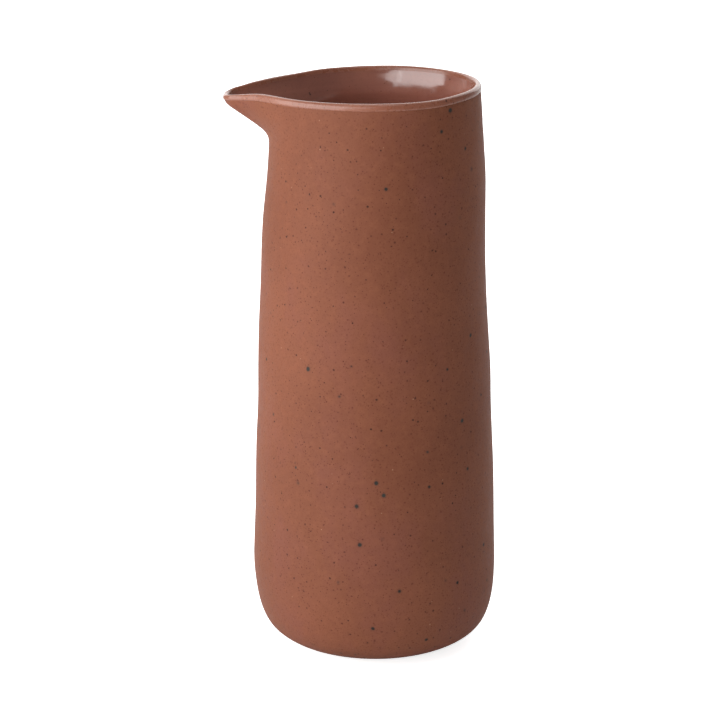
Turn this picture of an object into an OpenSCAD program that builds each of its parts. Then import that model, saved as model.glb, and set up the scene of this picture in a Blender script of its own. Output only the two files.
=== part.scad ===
// Tall hand-built stoneware pitcher without a handle: a gently tapering
// cylinder on a low foot ring, with a short pinched pouring beak on its rim.
// Millimetres, +Z up, origin on the table at the centre of the foot ring,
// beak along -X.

/* [Body] */
// Height of the rim above the table, at the middle of its slight tilt
height = 235; // [200:1:270]
// Largest outside diameter of the glazed body
belly_d = 100.8; // [90:0.2:112]
// Share of the drawn radius kept at the rim, 1 for the drawn taper
rim_share = 1; // [0.94:0.01:1.06]
// Strength of the hand-made unevenness, 0 for a true turned form
hand = 1; // [0:0.1:1.5]
// How much higher the rim stands opposite the beak
rim_tilt = 1.4; // [0:0.1:3]

/* [Beak] */
// How far the beak reaches out beyond the round of the rim
beak_reach = 19.5; // [12:0.5:24]
// How far below the rim the keel of the beak leaves the wall
beak_depth = 23; // [19:0.5:26]
// How far the tip sinks below the rim
beak_droop = 2.8; // [0:0.1:5]

/* [Foot] */
// Outside radius of the foot ring
foot_r = 29; // [26:0.5:29.5]
// Width of the foot ring
foot_w = 6; // [4:0.5:8]

/* [Glaze] */
// Thickness of the satin coat outside
coat_t = 0.4; // [0.3:0.05:0.6]
// Thickness of the gloss liner inside
liner_t = 0.5; // [0.3:0.05:0.7]

/* [Hidden] */

// Section of the clay wall at hand-chosen stations, drawn for a height of 235
// and a largest diameter of 100.8: [outside z, outside r, inside z, inside r]
DRAWN = [
  [  1.2, 29.6,   6.0, 27.5],
  [  2.0, 32.9,   6.4, 31.5],
  [  4.9, 40.3,   8.2, 37.2],
  [  8.8, 44.8,  11.5, 41.2],
  [ 14.0, 47.4,  16.0, 43.4],
  [ 20.0, 48.9,  21.5, 44.4],
  [ 28.0, 49.8,  29.0, 45.1],
  [ 38.0, 50.0,  38.5, 45.3],
  [ 50.0, 49.6,  50.0, 45.0],
  [ 66.0, 49.1,  66.0, 44.6],
  [ 83.0, 48.6,  83.0, 44.2],
  [100.0, 47.8, 100.0, 43.5],
  [120.0, 47.3, 120.0, 43.1],
  [140.0, 46.3, 140.0, 42.2],
  [160.0, 45.4, 160.0, 41.4],
  [180.0, 44.7, 180.0, 40.8],
  [198.0, 43.6, 198.0, 39.8],
  [211.0, 42.8, 211.0, 39.1],
  [214.5, 42.6, 214.5, 38.8],
  [218.0, 42.3, 218.0, 38.5],
  [222.0, 42.1, 222.0, 38.3],
  [226.0, 41.8, 226.0, 38.6],
  [229.0, 41.6, 229.0, 39.0],
  [231.6, 41.4, 231.6, 39.5],
  [234.2, 41.0, 234.2, 39.9]
];
NK = len(DRAWN);
K_BAND = NK - 2;     // station where the gloss band begins
K_BEAK = 17;         // station where the beak piece begins
K_HEEL = 7;          // station where the heel ends and the wall begins

// Angles of the stations round the body, counted from the beak: close
// together on the beak, 8 degrees apart on the rest
HALF = concat([3, 6, 10, 15, 20, 26, 32, 39, 46, 53, 60], [for (i = [1 : 15]) 60 + 8 * i]);
PHI = concat([for (i = [len(HALF) - 1 : -1 : 0]) -HALF[i]], [0], [for (i = [0 : len(HALF) - 2]) HALF[i]]);
NJ = len(PHI);
J_BEAK0 = 15;        // first and last station round the beak piece
J_BEAK1 = 37;

// Drift of the middle of each level off the axis: [height, offset]
DRIFT_X = [[2, 0], [6, 0.2], [22, 0], [38, -0.4], [60, -0.2], [85, -0.4], [105, -0.3], [130, -0.7], [165, -0.8], [180, -0.5], [200, 0.2], [235, 0.2]];
DRIFT_Y = [[5, 0], [30, 0.2], [70, -0.3], [120, 0.3], [170, -0.3], [235, 0.2]];

// Thumb dents and swellings: [angle from beak, height, depth, angle width, height width]
SWELLS = [
  [  80,  45,  0.35, 26, 22],
  [ 100, 110, -0.40, 24, 26],
  [  60, 150,  0.35, 22, 24],
  [ 120, 180, -0.35, 26, 22],
  [  90, 205,  0.25, 22, 16],
  [ -70,  70,  0.40, 26, 24],
  [-110, 130, -0.40, 24, 26],
  [ -80, 185,  0.30, 26, 20],
  [-140,  50, -0.35, 24, 22],
  [ 150,  85,  0.35, 24, 24],
  [ 170, 160, -0.25, 22, 20],
  [-160, 200,  0.25, 22, 18]
];

// Rise of the uneven rim above its tilted plane: [angle from beak, rise]
RIM_WAVE = [[-180, 0], [-140, -0.2], [-100, 0], [-60, 0], [-40, -0.45], [-20, -0.2], [-9, 0.3], [0, 0], [18, 0], [45, -0.35], [90, -0.45], [120, -0.7], [145, -0.2], [180, 0]];

// Reach of the beak round the rim, as a share of its full reach: [angle, share]
BEAK_PLAN = [[0, 1], [3, 0.985], [6, 0.91], [10, 0.7], [15, 0.53], [20, 0.40], [26, 0.30], [32, 0.23], [39, 0.165], [46, 0.115], [53, 0.075], [60, 0.045], [68, 0.02], [76, 0.005], [84, 0]];
// Reach of the beak up its height, as a share: [share of height, share of reach]
BEAK_KEEL = [[0, 0], [0.1, 0.02], [0.2, 0.09], [0.35, 0.29], [0.5, 0.52], [0.65, 0.75], [0.8, 0.94], [0.9, 0.99], [1, 1]];

sz = height / 235;
sr = belly_d / 100.8;

function wrap(a) = a > 180 ? a - 360 : a < -180 ? a + 360 : a;
function gauss(x) = exp(-x * x);
// 0 at the foot and 1 above the heel, so the foot stays true
function above_heel(z) = min(1, max(0, (z / sz - 6) / 30));
function share(z) = 1 + (rim_share - 1) * min(1, max(0, (z / sz - 40) / 195));
function drift_x(z) = hand * lookup(z / sz, DRIFT_X);
function drift_y(z) = hand * lookup(z / sz, DRIFT_Y);
function swell(p, z) = hand * above_heel(z) * [for (s = SWELLS) s[2] * gauss(wrap(p - s[0]) / s[3]) * gauss((z / sz - s[1]) / s[4])] * [for (s = SWELLS) 1];
// 0 where the keel leaves the wall, 1 at the rim; shallower away from the tip
function up_beak(p, z) = let (d = beak_depth * (1 - 0.3 * pow(min(1, abs(p) / 70), 2)))
  min(1, max(0, (z - (height - d)) / d));
function beak(p, z) = beak_reach * lookup(abs(p), BEAK_PLAN) * lookup(up_beak(p, z), BEAK_KEEL);
function sink(p, z) = (beak_droop * gauss(abs(p) / 13) + 0.2 * gauss(abs(p) / 60)) * pow(up_beak(p, z), 2);
function wave(p, z) = hand * lookup(p, RIM_WAVE) * pow(max(0, (z / sz - 195) / 40), 2);
function tilt(x, z) = rim_tilt / 2 * x / 42 * pow(max(0, z / height), 3);

// A point of the body from its section radius and height, at an angle from the beak
function place(p, r, z) = let (
    q = r * share(z) + beak(p, z) + swell(p, z),
    x = -q * cos(p), y = -q * sin(p)
  ) [x + drift_x(z), y + drift_y(z), z - sink(p, z) + wave(p, z) + tilt(x, z)];

// Section stations in millimetres, moved along the section's own normal
function outer(k) = [DRAWN[k][1] * sr, DRAWN[k][0] * sz];
function inner(k) = [DRAWN[k][3] * sr, k == 0 ? 6 : DRAWN[k][2] * sz];
function unit(v) = v / norm(v);
function out_normal(k) = let (t = outer(min(NK - 1, k + 1)) - outer(max(0, k - 1))) unit([t[1], -t[0]]);
function in_normal(k) = let (t = inner(min(NK - 1, k + 1)) - inner(max(0, k - 1))) k == 0 ? [0, 1] : unit([-t[1], t[0]]);
function coat(k, d) = k == 0 ? [outer(0)[0] + 0.2, outer(0)[1] - 0.2 * d / 0.4] : outer(k) + d * out_normal(k);
function liner(k, d) = inner(k) + d * in_normal(k);

function ring(s) = [for (p = PHI) place(p, s[0], s[1])];
function rings(list) = [for (s = list) each ring(s)];

function id(k, j) = k * NJ + (j + NJ) % NJ;
function quad(a, b, c, d) = [[a, b, c], [a, c, d]];

// Faces of a shell between an outside grid and an inside grid of nk rows,
// the inside grid's points following the outside grid's. Cells from j0 to j1
// are present in rows where has() says so; every open edge is closed across.
function shell(nk, has) = let (n = nk * NJ) [
  for (k = [0 : nk - 2], j = [0 : NJ - 1]) if (has[k][j])
    let (
      a = id(k, j), b = id(k, j + 1), c = id(k + 1, j + 1), d = id(k + 1, j),
      left = has[k][(j + NJ - 1) % NJ], right = has[k][(j + 1) % NJ],
      below = k > 0 && has[k - 1][j], above = k < nk - 2 && has[k + 1][j]
    ) each concat(
      [[a, d, c], [a, c, b]],
      [[n + a, n + c, n + d], [n + a, n + b, n + c]],
      below ? [] : quad(a, b, n + b, n + a),
      above ? [] : quad(d, n + d, n + c, c),
      left ? [] : quad(d, a, n + a, n + d),
      right ? [] : quad(n + b, b, c, n + c)
    )
];
function in_beak(k, j) = k >= K_BEAK && j >= J_BEAK0 && j < J_BEAK1;

module wall_shell(has) {
  polyhedron(
    points = concat(rings([for (k = [0 : NK - 1]) outer(k)]), rings([for (k = [0 : NK - 1]) inner(k)])),
    faces = shell(NK, has), convexity = 10);
}

// Clay wall above the heel, with a notch in the rim where the beak is luted on
module body_wall() {
  color("#9a5440") wall_shell([for (k = [0 : NK - 2]) [for (j = [0 : NJ - 1]) k >= K_HEEL && !in_beak(k, j)]]);
}

// Rounded clay heel between the floor and the wall
module heel_ring() {
  color("#945040") wall_shell([for (k = [0 : NK - 2]) [for (j = [0 : NJ - 1]) k < K_HEEL]]);
}

// Clay beak that fills the notch and runs out to its tip
module spout() {
  color("#a35c46") wall_shell([for (k = [0 : NK - 2]) [for (j = [0 : NJ - 1]) in_beak(k, j)]]);
}

// Clay floor, meeting the heel all round
module floor_disc() {
  n = NJ;
  color("#8f4d3b") polyhedron(
    points = concat(ring(outer(0)), ring(inner(0))),
    faces = concat(
      [[for (j = [0 : n - 1]) j]],
      [[for (j = [n - 1 : -1 : 0]) n + j]],
      [for (j = [0 : n - 1]) each [[j, n + j, n + (j + 1) % n], [j, n + (j + 1) % n, (j + 1) % n]]]
    ), convexity = 2);
}

// Bare clay ring that the pitcher stands on
module foot_ring() {
  z1 = outer(0)[1];
  color("#c08a6c") rotate_extrude($fn = 120) polygon([
    [foot_r - foot_w, z1], [foot_r - foot_w, 0.5], [foot_r - foot_w + 0.5, 0],
    [foot_r - 0.5, 0], [foot_r, 0.5], [foot_r, z1]
  ]);
}

// Satin speckled coat on the outside, up to the gloss band
module outer_glaze() {
  nk = K_BAND + 1;
  color("#a25f4a") polyhedron(
    points = concat(rings([for (k = [0 : nk - 1]) coat(k, coat_t)]), rings([for (k = [0 : nk - 1]) outer(k)])),
    faces = shell(nk, [for (k = [0 : nk - 2]) [for (j = [0 : NJ - 1]) true]]), convexity = 10);
}

// Gloss liner inside, across the floor and up to the lip
module inner_glaze() {
  nk = K_BAND + 1;
  n = nk * NJ;
  color("#86584d") polyhedron(
    points = concat(rings([for (k = [0 : nk - 1]) inner(k)]), rings([for (k = [0 : nk - 1]) liner(k, liner_t)])),
    faces = concat(
      [for (k = [0 : nk - 2], j = [0 : NJ - 1])
        let (a = id(k, j), b = id(k, j + 1), c = id(k + 1, j + 1), d = id(k + 1, j))
        each concat([[a, d, c], [a, c, b]], [[n + a, n + c, n + d], [n + a, n + b, n + c]],
          k == nk - 2 ? quad(d, n + d, n + c, c) : [])],
      [[for (j = [0 : NJ - 1]) j]],
      [[for (j = [NJ - 1 : -1 : 0]) n + j]]
    ), convexity = 10);
}

// Gloss glaze rolled over the lip and the beak's edge
module lip_glaze() {
  o = outer(K_BAND); i = inner(K_BAND);
  ot = outer(NK - 1); it = inner(NK - 1);
  top = height;
  sec = [
    o, o + [coat_t + 0.1, 0.05], o + [coat_t + 0.08, 1.2], ot + [0.8, -0.4], ot + [0.55, 0.35], ot + [0.05, 0.72],
    [(ot[0] + it[0]) / 2, top],
    it + [0.1, 0.65], it + [-0.25, 0.25], it + [-0.52, -0.5], i + [0.2 - liner_t, 1.1], i + [-liner_t, 0.09], i, it, ot
  ];
  m = len(sec);
  color("#b0705c") polyhedron(
    points = rings(sec),
    faces = [for (k = [0 : m - 1], j = [0 : NJ - 1])
      let (a = id(k, j), b = id(k, j + 1), c = id((k + 1) % m, j + 1), d = id((k + 1) % m, j))
      each [[a, d, c], [a, c, b]]],
    convexity = 10);
}

// Thin coat under the floor, inside the foot ring
module base_glaze() {
  z1 = outer(0)[1];
  color("#9c5b47") translate([0, 0, z1 - 0.35]) cylinder(r = foot_r - foot_w - 0.3, h = 0.35, $fn = 120);
}

body_wall();
heel_ring();
floor_disc();
spout();
foot_ring();
outer_glaze();
inner_glaze();
lip_glaze();
base_glaze();
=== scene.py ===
import math

import bmesh
import bpy
import mathutils
import numpy as np
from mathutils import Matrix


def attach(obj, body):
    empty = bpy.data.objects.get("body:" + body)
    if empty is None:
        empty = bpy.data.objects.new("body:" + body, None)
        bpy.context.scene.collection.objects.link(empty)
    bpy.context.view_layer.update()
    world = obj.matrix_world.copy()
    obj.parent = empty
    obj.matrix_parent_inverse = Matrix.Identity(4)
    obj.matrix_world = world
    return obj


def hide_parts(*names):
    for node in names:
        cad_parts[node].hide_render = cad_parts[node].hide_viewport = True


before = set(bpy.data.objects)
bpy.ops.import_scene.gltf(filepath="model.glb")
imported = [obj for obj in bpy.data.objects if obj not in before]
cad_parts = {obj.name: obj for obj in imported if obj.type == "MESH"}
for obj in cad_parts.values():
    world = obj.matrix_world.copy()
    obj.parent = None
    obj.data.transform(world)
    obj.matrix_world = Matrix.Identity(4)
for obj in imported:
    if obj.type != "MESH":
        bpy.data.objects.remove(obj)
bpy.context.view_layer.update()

MM = 0.001


# ---------------------------------------------------------------- curves
def pchip(xs, ys):
    """Smooth curve through points that never overshoots them."""
    x, y = np.asarray(xs, float), np.asarray(ys, float)
    h = np.diff(x)
    d = np.diff(y) / h
    m = np.zeros_like(x)
    for i in range(1, len(x) - 1):
        if d[i - 1] * d[i] > 0:
            w1, w2 = 2 * h[i] + h[i - 1], h[i] + 2 * h[i - 1]
            m[i] = (w1 + w2) / (w1 / d[i - 1] + w2 / d[i])
    m[0], m[-1] = d[0], d[-1]

    def f(q):
        q = np.clip(np.asarray(q, float), x[0], x[-1])
        i = np.clip(np.searchsorted(x, q, "right") - 1, 0, len(x) - 2)
        t = (q - x[i]) / h[i]
        return (
            (1 + 2 * t) * (1 - t) ** 2 * y[i]
            + t * (1 - t) ** 2 * h[i] * m[i]
            + t * t * (3 - 2 * t) * y[i + 1]
            + t * t * (t - 1) * h[i] * m[i + 1]
        )

    return f


def natural(t, y):
    """Natural cubic spline through points."""
    t, y = np.asarray(t, float), np.asarray(y, float)
    n = len(t)
    h = np.diff(t)
    A, b = np.eye(n), np.zeros(n)
    for i in range(1, n - 1):
        A[i, i - 1], A[i, i], A[i, i + 1] = h[i - 1], 2 * (h[i - 1] + h[i]), h[i]
        b[i] = 6 * ((y[i + 1] - y[i]) / h[i] - (y[i] - y[i - 1]) / h[i - 1])
    s = np.linalg.solve(A, b)

    def f(q):
        q = np.asarray(q, float)
        i = np.clip(np.searchsorted(t, q, "right") - 1, 0, n - 2)
        a, c = t[i + 1] - q, q - t[i]
        return (
            s[i] * a**3 / (6 * h[i])
            + s[i + 1] * c**3 / (6 * h[i])
            + (y[i] / h[i] - s[i] * h[i] / 6) * a
            + (y[i + 1] / h[i] - s[i + 1] * h[i] / 6) * c
        )

    return f


class Section:
    """A smooth section through stations of [radius, height]."""

    def __init__(self, pts):
        self.p = np.asarray(pts, float)
        self.s = np.r_[0, np.cumsum(np.linalg.norm(np.diff(self.p, axis=0), axis=1))]
        self.r, self.z = natural(self.s, self.p[:, 0]), natural(self.s, self.p[:, 1])

    def at(self, s):
        return np.stack([self.r(s), self.z(s)], -1)


# ---------------------------------------------------------------- the design, as in the CAD model
HEIGHT, BEAK_REACH, BEAK_DEPTH, BEAK_DROOP, RIM_TILT = 235.0, 19.5, 23.0, 2.8, 1.4
COAT, LINER = 0.4, 0.5
FOOT_R, FOOT_W, FOOT_H = 29.0, 6.0, 1.2
DRAWN = np.array([
    [1.2, 29.6, 6.0, 27.5], [2.0, 32.9, 6.4, 31.5], [4.9, 40.3, 8.2, 37.2], [8.8, 44.8, 11.5, 41.2],
    [14.0, 47.4, 16.0, 43.4], [20.0, 48.9, 21.5, 44.4], [28.0, 49.8, 29.0, 45.1], [38.0, 50.0, 38.5, 45.3],
    [50.0, 49.6, 50.0, 45.0], [66.0, 49.1, 66.0, 44.6], [83.0, 48.6, 83.0, 44.2], [100.0, 47.8, 100.0, 43.5],
    [120.0, 47.3, 120.0, 43.1], [140.0, 46.3, 140.0, 42.2], [160.0, 45.4, 160.0, 41.4], [180.0, 44.7, 180.0, 40.8],
    [198.0, 43.6, 198.0, 39.8], [211.0, 42.8, 211.0, 39.1], [214.5, 42.6, 214.5, 38.8], [218.0, 42.3, 218.0, 38.5],
    [222.0, 42.1, 222.0, 38.3], [226.0, 41.8, 226.0, 38.6], [229.0, 41.6, 229.0, 39.0], [231.6, 41.4, 231.6, 39.5],
    [234.2, 41.0, 234.2, 39.9],
])
DRIFT_X = [[2, 0], [6, 0.2], [22, 0], [38, -0.4], [60, -0.2], [85, -0.4], [105, -0.3], [130, -0.7], [165, -0.8], [180, -0.5], [200, 0.2], [235, 0.2]]
DRIFT_Y = [[5, 0], [30, 0.2], [70, -0.3], [120, 0.3], [170, -0.3], [235, 0.2]]
SWELLS = [
    [80, 45, 0.35, 26, 22], [100, 110, -0.40, 24, 26], [60, 150, 0.35, 22, 24], [120, 180, -0.35, 26, 22],
    [90, 205, 0.25, 22, 16], [-70, 70, 0.40, 26, 24], [-110, 130, -0.40, 24, 26], [-80, 185, 0.30, 26, 20],
    [-140, 50, -0.35, 24, 22], [150, 85, 0.35, 24, 24], [170, 160, -0.25, 22, 20], [-160, 200, 0.25, 22, 18],
]
RIM_WAVE = [[-180, 0], [-140, -0.2], [-100, 0], [-60, 0], [-40, -0.45], [-20, -0.2], [-9, 0.3], [0, 0], [18, 0], [45, -0.35], [90, -0.45], [120, -0.7], [145, -0.2], [180, 0]]
BEAK_PLAN = [[0, 1], [3, 0.985], [6, 0.91], [10, 0.7], [15, 0.53], [20, 0.40], [26, 0.30], [32, 0.23], [39, 0.165], [46, 0.115], [53, 0.075], [60, 0.045], [68, 0.02], [76, 0.005], [84, 0]]
BEAK_KEEL = [[0, 0], [0.1, 0.02], [0.2, 0.09], [0.35, 0.29], [0.5, 0.52], [0.65, 0.75], [0.8, 0.94], [0.9, 0.99], [1, 1]]

plan = pchip([-p[0] for p in BEAK_PLAN[:0:-1]] + [p[0] for p in BEAK_PLAN], [p[1] for p in BEAK_PLAN[:0:-1]] + [p[1] for p in BEAK_PLAN])
keel = pchip([-0.1] + [p[0] for p in BEAK_KEEL] + [1.1], [0] + [p[1] for p in BEAK_KEEL] + [1])
rim_wave = pchip([w[0] for w in RIM_WAVE], [w[1] for w in RIM_WAVE])
drift_x = pchip([-50] + [d[0] for d in DRIFT_X], [0] + [d[1] for d in DRIFT_X])
drift_y = pchip([-50] + [d[0] for d in DRIFT_Y], [0] + [d[1] for d in DRIFT_Y])


def wrap(a):
    return (np.asarray(a) + 180.0) % 360.0 - 180.0


def above_heel(z):
    return np.clip((z - 6) / 30, 0, 1)


def swell(p, z):
    out = np.zeros(np.broadcast(p, z).shape)
    for a, h, d, wa, wh in SWELLS:
        out = out + d * np.exp(-((wrap(p - a) / wa) ** 2)) * np.exp(-(((z - h) / wh) ** 2))
    return out * above_heel(z)


def up_beak(p, z):
    d = BEAK_DEPTH * (1 - 0.3 * np.minimum(1, np.abs(p) / 70) ** 2)
    return np.clip((z - (HEIGHT - d)) / d, 0, 1)


def place(p, r, z, skin=0.0):
    """Points of the body in metres: angle from the beak in degrees, section radius and height in mm."""
    u = up_beak(p, z)
    q = r + BEAK_REACH * plan(p) * keel(u) + swell(p, z) + skin
    x, y = -q * np.cos(np.radians(p)), -q * np.sin(np.radians(p))
    sink = (BEAK_DROOP * np.exp(-((p / 13) ** 2)) + 0.2 * np.exp(-((p / 60) ** 2))) * u**2
    wave = rim_wave(wrap(p)) * np.maximum(0, (z - 195) / 40) ** 2
    tilt = RIM_TILT / 2 * x / 42 * np.maximum(0, z / HEIGHT) ** 3
    return np.stack([x + drift_x(z), y + drift_y(z), z - sink + wave + tilt], -1) * MM


def normals(p, inward):
    t = np.empty_like(p)
    t[1:-1], t[0], t[-1] = p[2:] - p[:-2], p[1] - p[0], p[-1] - p[-2]
    n = np.stack([t[:, 1], -t[:, 0]], -1) * (-1 if inward else 1)
    return n / np.linalg.norm(n, axis=1)[:, None]


clay_out = DRAWN[:, [1, 0]].copy()
clay_in = DRAWN[:, [3, 2]].copy()
coat_out = clay_out + COAT * normals(clay_out, False)
coat_out[0] = [29.8, 1.0]
liner_in = clay_in + LINER * normals(clay_in, True)
liner_in[0] = [27.5, 6.5]

NK = len(DRAWN)
K_BAND, K_BEAK, K_HEEL = NK - 2, 17, 7
S_OUT, S_IN, S_COAT, S_LINER = Section(clay_out), Section(clay_in), Section(coat_out), Section(liner_in)


def stations(k0, k1, fine):
    """Positions between drawn stations k0 and k1, as fractional station numbers, about so many mm apart."""
    out = []
    for k in range(k0, k1):
        n = max(1, round((S_OUT.s[k + 1] - S_OUT.s[k]) / fine(DRAWN[k, 0])))
        out += [k + i / n for i in range(n)]
    return np.array(out + [k1], float)


def along(sec, ks):
    return sec.at(np.interp(ks, np.arange(NK), sec.s))


def angles(fine, coarse):
    """Angles all round from -180, closer together over the beak."""
    mid = np.linspace(-64, 64, fine + 1)
    side = np.linspace(64, 180, coarse + 1)
    return np.r_[-side[::-1][:-1], mid, side[1:-1]]


# ---------------------------------------------------------------- meshes
def make(name, verts, faces, sharp=0.6):
    me = bpy.data.meshes.new(name)
    me.from_pydata([tuple(v) for v in np.asarray(verts).reshape(-1, 3)], [], faces)
    bm = bmesh.new()
    bm.from_mesh(me)
    bmesh.ops.delete(bm, geom=[v for v in bm.verts if not v.link_faces], context="VERTS")
    for f in bm.faces:
        f.smooth = True
    for e in bm.edges:
        if len(e.link_faces) == 2 and e.calc_face_angle(0) > sharp:
            e.smooth = False
    bm.to_mesh(me)
    bm.free()
    o = bpy.data.objects.new(name, me)
    bpy.context.scene.collection.objects.link(o)
    return o


def shell(name, outside, inside, has=None):
    """A closed shell between two grids (rows, columns, 3) that go all the way round."""
    nk, nj = outside.shape[:2]
    n = nk * nj
    has = np.ones((nk - 1, nj), bool) if has is None else has
    f = []
    for k in range(nk - 1):
        for j in range(nj):
            if not has[k, j]:
                continue
            j2 = (j + 1) % nj
            a, b, c, d = k * nj + j, k * nj + j2, (k + 1) * nj + j2, (k + 1) * nj + j
            f.append((a, b, c, d))
            f.append((n + a, n + d, n + c, n + b))
            if k == 0 or not has[k - 1, j]:
                f.append((b, a, n + a, n + b))
            if k == nk - 2 or not has[k + 1, j]:
                f.append((d, c, n + c, n + d))
            if not has[k, (j - 1) % nj]:
                f.append((a, d, n + d, n + a))
            if not has[k, j2]:
                f.append((c, b, n + b, n + c))
    return make(name, np.concatenate([outside.reshape(-1, 3), inside.reshape(-1, 3)]), f)


def grid_of(section_pts, phi, skin=None):
    r, z = section_pts[:, 0][:, None], section_pts[:, 1][:, None]
    p = phi[None, :]
    return place(p, r, z, 0.0 if skin is None else skin(p, z))


def touch(p, z):
    """Faint unevenness of a hand-smoothed surface, under a tenth of a millimetre."""
    a = np.radians(p)
    return above_heel(z) * (
        0.06 * np.sin(5 * a + z / 19 + 0.7) * np.sin(z / 11 + 1.1)
        + 0.045 * np.sin(9 * a - z / 23) * np.cos(z / 8.3 + 0.4)
        + 0.03 * np.sin(14 * a + z / 9.7) * np.sin(z / 5.1)
        + 0.02 * np.sin(23 * a - z / 4.3 + 2)
    )


def throwing(p, z):
    """Shallow throwing rings inside."""
    a = np.radians(p)
    return -above_heel(z) * (0.07 * np.sin(z / 1.35 + a * 1.0) + 0.05 * np.sin(z / 3.1 + 2 * a)) * np.clip((232 - z) / 20, 0, 1)


PHI = angles(170, 110)
outer_ks = np.r_[stations(0, K_BAND, lambda z: 1.15 if z > 205 else 1.6 if z < 30 else 2.4), K_BAND + 0.2]
outer_glaze = shell(
    "outer_glaze_coat",
    grid_of(along(S_COAT, outer_ks), PHI, touch),
    grid_of(along(S_OUT, outer_ks), PHI),
)

# gloss liner with its floor, drawn in to the middle
PHI_IN = angles(130, 90)
inner_ks = np.r_[stations(0, K_BAND, lambda z: 1.2 if z > 205 else 1.6 if z < 30 else 2.0), K_BAND + 0.3, K_BAND + 0.6]
wall_l, wall_c = along(S_LINER, inner_ks), along(S_IN, inner_ks)
floor_r = np.array([0.6, 2, 4, 7, 10, 13, 16, 19, 22, 25])
floor_l = np.stack([floor_r, 6.5 + 0.10 * np.cos(floor_r / 2.2) * np.clip(1 - floor_r / 26, 0, 1)], -1)
floor_c = np.stack([floor_r, np.full_like(floor_r, 6.0)], -1)
gl = grid_of(np.concatenate([floor_l, wall_l]), PHI_IN, throwing)
gc = grid_of(np.concatenate([floor_c, wall_c]), PHI_IN)
nk, nj = gl.shape[:2]
n = nk * nj
faces = []
for k in range(nk - 1):
    for j in range(nj):
        j2 = (j + 1) % nj
        a, b, c, d = k * nj + j, k * nj + j2, (k + 1) * nj + j2, (k + 1) * nj + j
        faces.append((a, b, c, d))
        faces.append((n + a, n + d, n + c, n + b))
        if k == nk - 2:
            faces.append((d, c, n + c, n + d))
faces += [(j + 1 if j + 1 < nj else 0, j, 2 * n) for j in range(nj)]
faces += [(n + j, n + (j + 1) % nj, 2 * n + 1) for j in range(nj)]
inner_glaze = make(
    "inner_glaze_liner",
    np.concatenate([gc.reshape(-1, 3), gl.reshape(-1, 3), [[0, 0, 6.0 * MM], [0, 0, 6.6 * MM]]]),
    faces,
)

# the lip: gloss glaze rolled over the clay, ending outside in a small ledge
o, i, ot, it = along(S_OUT, K_BAND + 0.2), along(S_IN, K_BAND + 0.6), clay_out[-1], clay_in[-1]
arc = Section([
    o + [COAT - 0.03, -0.03], o + [COAT + 0.13, 0.1], ot + [0.98, -1.2], ot + [0.86, -0.45], ot + [0.54, 0.28], ot + [0.05, 0.68],
    [(ot[0] + it[0]) / 2, HEIGHT],
    it + [0.1, 0.65], it + [-0.25, 0.25], it + [-0.46, -0.35], i + [-LINER, 0.03],
])
PHI_LIP = angles(230, 150)
loop = np.concatenate([arc.at(np.linspace(0, arc.s[-1], 40)), [i, it, ot, o]])
g = grid_of(loop, PHI_LIP)
m, nj = g.shape[:2]
lip_glaze = make(
    "lip_glaze_roll", g,
    [(k * nj + j, k * nj + (j + 1) % nj, ((k + 1) % m) * nj + (j + 1) % nj, ((k + 1) % m) * nj + j) for k in range(m) for j in range(nj)],
)

# clay wall, beak and floor under the glaze
PHI_C = np.r_[np.arange(-180, -60, 3), np.arange(-60, 60, 1.5), np.arange(60, 180, 3)].astype(float)
clay_ks = stations(0, NK - 1, lambda z: 2.0 if z > 205 else 3.0)
co, ci = grid_of(along(S_OUT, clay_ks), PHI_C), grid_of(along(S_IN, clay_ks), PHI_C)
in_beak = (clay_ks[:-1, None] >= K_BEAK - 1e-6) & (PHI_C[None, :] >= -60) & (PHI_C[None, :] < 60)
in_heel = (clay_ks[:-1, None] < K_HEEL - 1e-6) & np.ones(len(PHI_C), bool)[None, :]
clay_heel = shell("clay_heel", co, ci, in_heel)
clay_wall = shell("clay_wall", co, ci, ~in_beak & ~in_heel)
clay_beak = shell("clay_beak", co, ci, in_beak)
ring_r = np.array([0.6, 6, 12, 18, 24])
fo = grid_of(np.stack([np.r_[ring_r, 29.6], np.full(6, 1.2)], -1), PHI_C)
fi = grid_of(np.stack([np.r_[ring_r, 27.5], np.full(6, 6.0)], -1), PHI_C)
nk, nj = fo.shape[:2]
n = nk * nj
faces = []
for k in range(nk - 1):
    for j in range(nj):
        j2 = (j + 1) % nj
        a, b, c, d = k * nj + j, k * nj + j2, (k + 1) * nj + j2, (k + 1) * nj + j
        faces += [(a, b, c, d), (n + a, n + d, n + c, n + b)]
        if k == nk - 2:
            faces.append((d, c, n + c, n + d))
faces += [((j + 1) % nj, j, 2 * n) for j in range(nj)] + [(n + j, n + (j + 1) % nj, 2 * n + 1) for j in range(nj)]
clay_floor = make("clay_floor", np.concatenate([fo.reshape(-1, 3), fi.reshape(-1, 3), [[0, 0, 1.2 * MM], [0, 0, 6.0 * MM]]]), faces)


def turned(name, pts, steps, wobble=0.0):
    """A closed ring turned from a closed section of [radius, height]."""
    pts = np.asarray(pts, float)
    a = np.linspace(0, 2 * np.pi, steps, endpoint=False)
    r = pts[:, 0][:, None] + wobble * (np.sin(3 * a + 0.5) + 0.6 * np.sin(7 * a))[None, :]
    g = np.stack([r * np.cos(a), r * np.sin(a), np.broadcast_to(pts[:, 1][:, None], r.shape)], -1) * MM
    m = len(pts)
    return make(name, g, [(k * steps + j, k * steps + (j + 1) % steps, ((k + 1) % m) * steps + (j + 1) % steps, ((k + 1) % m) * steps + j) for k in range(m) for j in range(steps)], 0.9)


def fillet(cx, cz, rad, a0, a1, steps=6):
    return [[cx + rad * math.cos(math.radians(t)), cz + rad * math.sin(math.radians(t))] for t in np.linspace(a0, a1, steps)]


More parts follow.
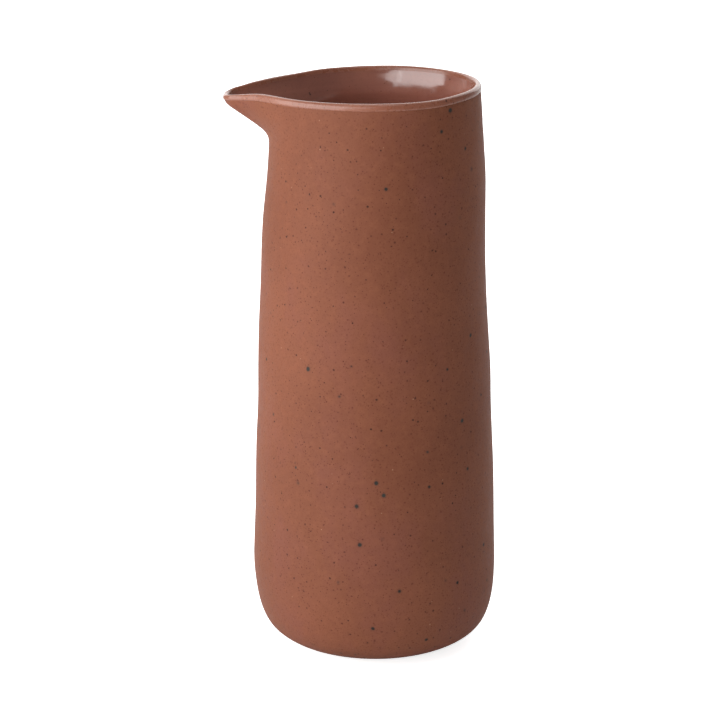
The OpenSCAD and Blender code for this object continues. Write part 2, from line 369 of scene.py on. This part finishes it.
ri = FOOT_R - FOOT_W
foot_ring = turned(
    "foot_ring_bare",
    [[ri, FOOT_H]] + fillet(ri + 0.55, 0.55, 0.55, 180, 270) + fillet(FOOT_R - 0.55, 0.55, 0.55, 270, 360) + [[FOOT_R, FOOT_H]],
    240, 0.06,
)

rb = ri - 0.12
zb = FOOT_H - 0.35
steps = 200
rad = np.r_[1.0, 4, 8, 12, 16, 19, 21, 22.2, rb - 0.25, rb]
zlo = zb + np.r_[0, 0, 0, 0, 0.01, 0.02, 0.04, 0.07, 0.12, 0.22]
a = np.linspace(0, 2 * np.pi, steps, endpoint=False)
lo = np.stack([rad[:, None] * np.cos(a), rad[:, None] * np.sin(a), np.broadcast_to(zlo[:, None], (len(rad), steps))], -1) * MM
hi = lo.copy()
hi[..., 2] = FOOT_H * MM
nk, nj = lo.shape[:2]
n = nk * nj
faces = []
for k in range(nk - 1):
    for j in range(nj):
        j2 = (j + 1) % nj
        q = (k * nj + j, k * nj + j2, (k + 1) * nj + j2, (k + 1) * nj + j)
        faces += [q, tuple(n + v for v in q[::-1])]
        if k == nk - 2:
            faces.append((q[3], q[2], n + q[2], n + q[3]))
faces += [((j + 1) % nj, j, 2 * n) for j in range(nj)] + [(n + j, n + (j + 1) % nj, 2 * n + 1) for j in range(nj)]
base_glaze = make("base_glaze_coat", np.concatenate([lo.reshape(-1, 3), hi.reshape(-1, 3), [[0, 0, zb * MM], [0, 0, FOOT_H * MM]]]), faces)

for piece in (outer_glaze, inner_glaze, lip_glaze, clay_wall, clay_heel, clay_beak, clay_floor, foot_ring, base_glaze):
    bm = bmesh.new()
    bm.from_mesh(piece.data)
    bmesh.ops.recalc_face_normals(bm, faces=bm.faces)
    bm.to_mesh(piece.data)
    bm.free()


# ---------------------------------------------------------------- materials
class Nodes:
    """Small helper for node materials."""

    def __init__(self, name):
        self.m = bpy.data.materials.new(name)
        self.m.use_nodes = True
        self.t = self.m.node_tree
        self.bsdf = self.t.nodes["Principled BSDF"]
        self.coord = self.t.nodes.new("ShaderNodeTexCoord").outputs["Object"]

    def new(self, kind, **inputs):
        n = self.t.nodes.new(kind)
        for k, v in inputs.items():
            self.put(n.inputs[k.replace("_", " ")], v)
        return n

    def put(self, socket, v):
        if isinstance(v, bpy.types.NodeSocket):
            self.t.links.new(v, socket)
        else:
            socket.default_value = v

    def noise(self, scale, detail=3.0, rough=0.5, vector=None, distortion=0.0):
        n = self.new("ShaderNodeTexNoise", Scale=scale, Detail=detail, Roughness=rough, Distortion=distortion)
        self.t.links.new(vector or self.coord, n.inputs["Vector"])
        return n.outputs["Fac"]

    def shift(self, offset, stretch=(1, 1, 1)):
        n = self.t.nodes.new("ShaderNodeMapping")
        n.inputs["Location"].default_value = offset
        n.inputs["Scale"].default_value = stretch
        self.t.links.new(self.coord, n.inputs["Vector"])
        return n.outputs["Vector"]

    def math(self, op, a, b=0.0, clamp=False):
        n = self.t.nodes.new("ShaderNodeMath")
        n.operation = op
        n.use_clamp = clamp
        self.put(n.inputs[0], a)
        self.put(n.inputs[1], b)
        return n.outputs[0]

    def ramp(self, fac, lo, hi, to_lo=0.0, to_hi=1.0, smooth=True):
        n = self.t.nodes.new("ShaderNodeMapRange")
        n.interpolation_type = "SMOOTHSTEP" if smooth else "LINEAR"
        self.put(n.inputs["Value"], fac)
        n.inputs["From Min"].default_value = lo
        n.inputs["From Max"].default_value = hi
        n.inputs["To Min"].default_value = to_lo
        n.inputs["To Max"].default_value = to_hi
        return n.outputs["Result"]

    def mix(self, fac, a, b, kind="MIX"):
        n = self.t.nodes.new("ShaderNodeMix")
        n.data_type = "RGBA"
        n.blend_type = kind
        self.put(n.inputs["Factor"], fac)
        self.put(n.inputs[6], a if isinstance(a, bpy.types.NodeSocket) else (*a, 1))
        self.put(n.inputs[7], b if isinstance(b, bpy.types.NodeSocket) else (*b, 1))
        return n.outputs[2]

    def specks(self, cell, r_lo, r_hi, keep, offset=(0, 0, 0), soft=0.25, warp=0.0):
        """Round specks: one chance for each cell of that size in metres, with radii between r_lo and r_hi; keep is the share of cells that have one."""
        v = self.shift(offset)
        if warp:
            w = self.t.nodes.new("ShaderNodeTexNoise")
            w.inputs["Scale"].default_value = 0.35 / r_hi
            w.inputs["Detail"].default_value = 1.0
            self.t.links.new(v, w.inputs["Vector"])
            c = self.t.nodes.new("ShaderNodeVectorMath")
            c.operation = "SUBTRACT"
            self.t.links.new(w.outputs["Color"], c.inputs[0])
            c.inputs[1].default_value = (0.5, 0.5, 0.5)
            s = self.t.nodes.new("ShaderNodeVectorMath")
            s.operation = "SCALE"
            s.inputs["Scale"].default_value = warp
            self.t.links.new(c.outputs[0], s.inputs[0])
            a = self.t.nodes.new("ShaderNodeVectorMath")
            a.operation = "ADD"
            self.t.links.new(v, a.inputs[0])
            self.t.links.new(s.outputs[0], a.inputs[1])
            v = a.outputs[0]
        n = self.t.nodes.new("ShaderNodeTexVoronoi")
        n.inputs["Scale"].default_value = 1 / cell
        n.inputs["Randomness"].default_value = 1.0
        self.t.links.new(v, n.inputs["Vector"])
        sep = self.t.nodes.new("ShaderNodeSeparateColor")
        self.t.links.new(n.outputs["Color"], sep.inputs[0])
        # the distance is in cells: back to metres
        dist = self.math("MULTIPLY", n.outputs["Distance"], cell)
        radius = self.ramp(sep.outputs[1], 0, 1, r_lo, r_hi, False)
        edge = self.math("DIVIDE", dist, radius)
        spot = self.ramp(edge, 1 - soft, 1 + soft, 1, 0)
        chosen = self.math("LESS_THAN", sep.outputs[0], keep)
        return self.math("MULTIPLY", spot, chosen), sep.outputs[2], edge, chosen

    def bump(self, height, strength, distance, normal=None):
        n = self.t.nodes.new("ShaderNodeBump")
        n.inputs["Strength"].default_value = strength
        n.inputs["Distance"].default_value = distance
        self.put(n.inputs["Height"], height)
        if normal is not None:
            self.t.links.new(normal, n.inputs["Normal"])
        return n.outputs["Normal"]


def srgb(r, g, b):
    def f(c):
        c /= 255
        return c / 12.92 if c <= 0.04045 else ((c + 0.055) / 1.055) ** 2.4

    return (f(r), f(g), f(b))


def satin_glaze(name, base=(121, 72, 52), dark=(113, 66, 47), mauve=(117, 69, 56), rough=0.58):
    k = Nodes(name)
    cloud = k.noise(14, 3, 0.55)
    patch = k.noise(38, 3, 0.6, k.shift((3.1, 0.7, 1.9), (1, 1, 0.6)))
    mottle = k.noise(330, 4, 0.62, k.shift((0.3, 2.2, 0.4)))
    grain = k.noise(1500, 3, 0.6, k.shift((1.3, 0.2, 2.4)))
    c = k.mix(k.ramp(cloud, 0.36, 0.64), srgb(*dark), srgb(*base))
    c = k.mix(k.math("MULTIPLY", k.ramp(patch, 0.45, 0.7), 0.6), c, srgb(*mauve))
    c = k.mix(k.math("MULTIPLY", k.ramp(mottle, 0.42, 0.75), 0.25), c, srgb(base[0] + 18, base[1] + 14, base[2] + 11))
    c = k.mix(k.math("MULTIPLY", k.ramp(grain, 0.50, 0.72), 0.35), c, srgb(dark[0] - 24, dark[1] - 17, dark[2] - 13))
    # cream flecks
    spot, _, _, _ = k.specks(0.0040, 0.00014, 0.00028, 0.20, (0.11, 0.02, 0.07), 0.4)
    c = k.mix(k.math("MULTIPLY", spot, 0.5), c, srgb(166, 126, 100))
    # dense faint red-brown specks, then finer and sharper ones
    faint, tone, _, _ = k.specks(0.0015, 0.00020, 0.00036, 0.85, (0.05, 0.12, 0.03), 0.5)
    c = k.mix(k.math("MULTIPLY", faint, k.ramp(tone, 0, 1, 0.22, 0.58, False)), c, srgb(72, 31, 20))
    fine, tone, _, _ = k.specks(0.00115, 0.00009, 0.00024, 0.80, (0.01, 0.05, 0.02), 0.45)
    c = k.mix(k.math("MULTIPLY", fine, k.ramp(tone, 0, 1, 0.3, 0.8, False)), c, srgb(60, 27, 19))
    # medium dark specks
    spot2, tone, edge, chosen = k.specks(0.0031, 0.00022, 0.00046, 0.80, (0.03, 0.01, 0.09), 0.4, 0.0003)
    c = k.mix(k.math("MULTIPLY", spot2, k.ramp(tone, 0, 1, 0.45, 0.9, False)), c, k.mix(tone, srgb(58, 27, 18), srgb(42, 29, 22)))
    # sparse large blue-green black specks with a soft halo
    spot3, tone, edge, chosen = k.specks(0.0086, 0.00050, 0.00088, 0.62, (0.07, 0.03, 0.05), 0.3, 0.0005)
    halo = k.math("MULTIPLY", k.ramp(edge, 0.9, 2.0, 0.45, 0), chosen)
    c = k.mix(halo, c, srgb(72, 52, 43))
    c = k.mix(k.math("MULTIPLY", spot3, 0.93), c, k.mix(tone, srgb(32, 32, 29), srgb(44, 49, 46)))
    k.put(k.bsdf.inputs["Base Color"], c)
    r = k.math("ADD", k.ramp(mottle, 0.3, 0.7, rough - 0.05, rough + 0.07, False), k.math("MULTIPLY", k.ramp(grain, 0.4, 0.7), 0.06))
    k.put(k.bsdf.inputs["Roughness"], r)
    k.bsdf.inputs["Specular IOR Level"].default_value = 0.14
    h = k.math("ADD", k.math("MULTIPLY", grain, 0.35), k.math("MULTIPLY", mottle, 1.0))
    h = k.math("SUBTRACT", h, k.math("MULTIPLY", k.math("ADD", spot2, spot3), 0.5))
    k.put(k.bsdf.inputs["Normal"], k.bump(h, 0.5, 0.00012))
    return k.m


def gloss_glaze(name, base, dark, rough=0.12, specks=0.3, uneven=0.25, shine=0.75):
    k = Nodes(name)
    cloud = k.noise(30, 3, 0.55, k.shift((0.5, 1.5, 0.2)))
    lines = k.noise(90, 3, 0.5, k.shift((0.1, 0.4, 2.0), (0.15, 0.15, 3.0)))
    grain = k.noise(900, 2, 0.55)
    c = k.mix(k.ramp(cloud, 0.35, 0.65), srgb(*dark), srgb(*base))
    c = k.mix(k.math("MULTIPLY", k.ramp(lines, 0.45, 0.7), 0.9 * uneven), c, srgb(base[0] + 14, base[1] + 11, base[2] + 10))
    c = k.mix(k.math("MULTIPLY", k.ramp(grain, 0.52, 0.75), 0.25), c, srgb(dark[0] - 20, dark[1] - 14, dark[2] - 11))
    fine, _, _, _ = k.specks(0.0013, 0.00010, 0.00024, specks, (0.02, 0.15, 0.12), 0.45)
    c = k.mix(k.math("MULTIPLY", fine, 0.5), c, srgb(62, 34, 27))
    spot, _, _, _ = k.specks(0.0036, 0.00020, 0.00045, specks, (0.2, 0.1, 0.3), 0.35)
    c = k.mix(k.math("MULTIPLY", spot, 0.8), c, srgb(44, 28, 24))
    k.put(k.bsdf.inputs["Base Color"], c)
    k.put(k.bsdf.inputs["Roughness"], k.ramp(k.noise(220, 3, 0.6), 0.3, 0.7, rough - 0.03, rough + 0.05, False))
    k.bsdf.inputs["Specular IOR Level"].default_value = shine
    k.put(k.bsdf.inputs["Normal"], k.bump(k.math("ADD", k.noise(160, 2, 0.5), k.math("MULTIPLY", lines, 0.5)), uneven, 0.00015))
    return k.m


def bare_clay(name, base, dark, rough=0.85):
    k = Nodes(name)
    cloud = k.noise(60, 4, 0.6)
    grog = k.noise(1100, 4, 0.7)
    c = k.mix(k.ramp(cloud, 0.35, 0.65), srgb(*dark), srgb(*base))
    c = k.mix(k.math("MULTIPLY", k.ramp(grog, 0.5, 0.75), 0.5), c, srgb(dark[0] - 30, dark[1] - 22, dark[2] - 18))
    spot, _, _, _ = k.specks(0.0022, 0.0001, 0.0003, 0.4, (0.4, 0.2, 0.1), 0.4)
    c = k.mix(k.math("MULTIPLY", spot, 0.7), c, srgb(70, 48, 40))
    k.put(k.bsdf.inputs["Base Color"], c)
    k.put(k.bsdf.inputs["Roughness"], k.ramp(grog, 0.3, 0.7, rough - 0.08, rough + 0.08, False))
    k.put(k.bsdf.inputs["Normal"], k.bump(k.math("ADD", grog, k.math("MULTIPLY", cloud, 0.6)), 0.6, 0.0003))
    return k.m


satin = satin_glaze("satin_terracotta")
liner = gloss_glaze("gloss_liner", (142, 89, 73), (128, 79, 66))
lip = gloss_glaze("gloss_lip", (136, 84, 64), (128, 78, 60), 0.27, 0.6, 0.05, 0.5)
base = satin_glaze("satin_base")
clay = bare_clay("stoneware", (138, 88, 66), (122, 76, 57))
bare = bare_clay("bare_foot", (164, 116, 92), (146, 98, 76))

for piece, node, slot, mat in (
    (outer_glaze, "outer_glaze", "satin_glaze", satin),
    (inner_glaze, "inner_glaze", "gloss_glaze", liner),
    (lip_glaze, "lip_glaze", "lip_glaze", lip),
    (clay_wall, "body_wall", "stoneware", clay),
    (clay_heel, "heel_ring", "stoneware", clay),
    (clay_beak, "spout", "stoneware", clay),
    (clay_floor, "floor_disc", "stoneware", clay),
    (foot_ring, "foot_ring", "bare_stoneware", bare),
    (base_glaze, "base_glaze", "base_glaze", base),
):
    piece.data.materials.append(mat)
    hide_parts(node)
    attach(piece, "root")


# ---------------------------------------------------------------- studio
scene = bpy.context.scene
scene.view_settings.view_transform = "Standard"
scene.view_settings.look = "None"

bpy.ops.mesh.primitive_plane_add(size=14, location=(0, 0, -0.00002))
floor = bpy.context.object
floor.name = "floor"
fm = Nodes("floor_white")
fm.bsdf.inputs["Base Color"].default_value = (0.90, 0.90, 0.90, 1)
fm.bsdf.inputs["Roughness"].default_value = 0.9
fm.bsdf.inputs["Specular IOR Level"].default_value = 0.1
# the sweep is lit to white behind the object, without throwing more light on it
fm.bsdf.inputs["Emission Color"].default_value = (1, 1, 1, 1)
fm.put(fm.bsdf.inputs["Emission Strength"], fm.math("MULTIPLY", fm.new("ShaderNodeLightPath").outputs["Is Camera Ray"], 0.80))
floor.data.materials.append(fm.m)

AMBIENT = 0.15
world = bpy.data.worlds.new("studio")
scene.world = world
world.use_nodes = True
wt = world.node_tree
back = wt.nodes["Background"]
back.inputs["Color"].default_value = (1, 1, 1, 1)
seen = wt.nodes.new("ShaderNodeLightPath").outputs["Is Camera Ray"]
level = wt.nodes.new("ShaderNodeMapRange")
level.inputs["To Min"].default_value = AMBIENT
level.inputs["To Max"].default_value = 1.0
wt.links.new(seen, level.inputs["Value"])
wt.links.new(level.outputs["Result"], back.inputs["Strength"])


def softbox(name, az, el, dist, size, radiance, aim=(0, 0, 0.16), roll=0.0):
    """An area light of even radiance at an azimuth to the left (-) or right (+) of the camera's side."""
    light = bpy.data.lights.new(name, "AREA")
    light.shape = "RECTANGLE"
    light.size, light.size_y = size
    light.energy = radiance * math.pi * size[0] * size[1]
    ob = bpy.data.objects.new(name, light)
    a, e = math.radians(az), math.radians(el)
    pos = (aim[0] + dist * math.sin(a) * math.cos(e), aim[1] - dist * math.cos(a) * math.cos(e), aim[2] + dist * math.sin(e))
    ob.location = pos
    d = [aim[i] - pos[i] for i in range(3)]
    turn = mathutils.Quaternion((0, 0, 1), math.radians(roll))
    ob.rotation_euler = (mathutils.Vector(d).to_track_quat("-Z", "Y") @ turn).to_euler()
    scene.collection.objects.link(ob)
    return ob


softbox("key", -60, 17, 1.1, (1.28, 0.98), 4.75, (0, 0, 0.10))
softbox("wing", -17.2, 17.2, 1.3, (0.62, 0.20), 4.7, roll=29)
softbox("backdrop", 180, 34, 2.2, (4.4, 3.0), 2.0)
softbox("top", -10, 74, 1.3, (1.0, 0.7), 2.0)
softbox("edge", 112, 8, 1.4, (0.9, 1.2), 0.65, (0, 0, 0.08)).visible_glossy = False

# ---------------------------------------------------------------- camera
EL, DIST, AIM = 16.45, 1.100, (-0.0063, 0.0, 0.1199)
cam = bpy.data.cameras.new("camera")
cam.sensor_width = 36
cam.lens = 2674 / 720 * 36
cam.clip_start = 0.05
cam.clip_end = 60
co_ = bpy.data.objects.new("camera", cam)
scene.collection.objects.link(co_)
e = math.radians(EL)
co_.location = (AIM[0], AIM[1] - DIST * math.cos(e), AIM[2] + DIST * math.sin(e))
co_.rotation_euler = (math.radians(90) - e, 0, 0)
scene.camera = co_
